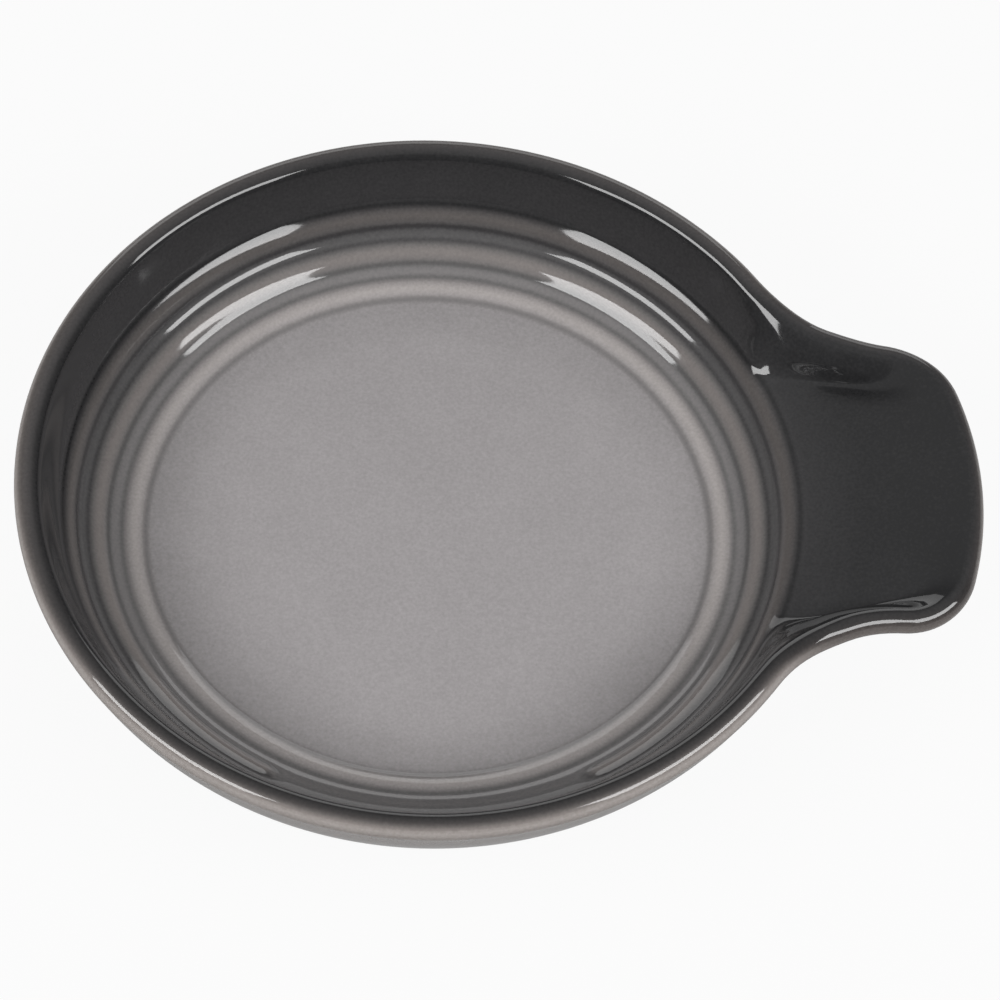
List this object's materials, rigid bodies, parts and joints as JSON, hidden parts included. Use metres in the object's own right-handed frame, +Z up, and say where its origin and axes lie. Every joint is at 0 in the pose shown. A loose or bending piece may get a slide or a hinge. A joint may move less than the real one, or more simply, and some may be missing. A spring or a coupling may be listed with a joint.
{
  "type": "spoon rest",
  "caption": "Round glazed stoneware spoon rest: shallow dish with a flat floor, ribbed inner wall, rounded rim and a broad trough for a handle, standing on a bare foot ring.",
  "frame": {"origin": "the bowl's axis, on the plane that the foot ring stands on", "axes": "+X along the handle, +Z up, so the plain panel on the wall faces -Y"},
  "size_m": [0.1523, 0.13, 0.025],
  "materials": {
    "bare_stoneware": "fired, unglazed, slightly gritty",
    "well_glaze": "glossy pale grey glaze, finely mottled",
    "wall_glaze": "glossy charcoal glaze that breaks lighter over the ribs and the rim",
    "outside_glaze": "glossy grey-brown glaze"
  },
  "bodies": {
    "root": {"stoneware_body": "bare_stoneware", "well_glaze": "well_glaze", "wall_glaze": "wall_glaze", "outside_glaze": "outside_glaze", "base_glaze": "outside_glaze"}
  },
  "joints": []
}
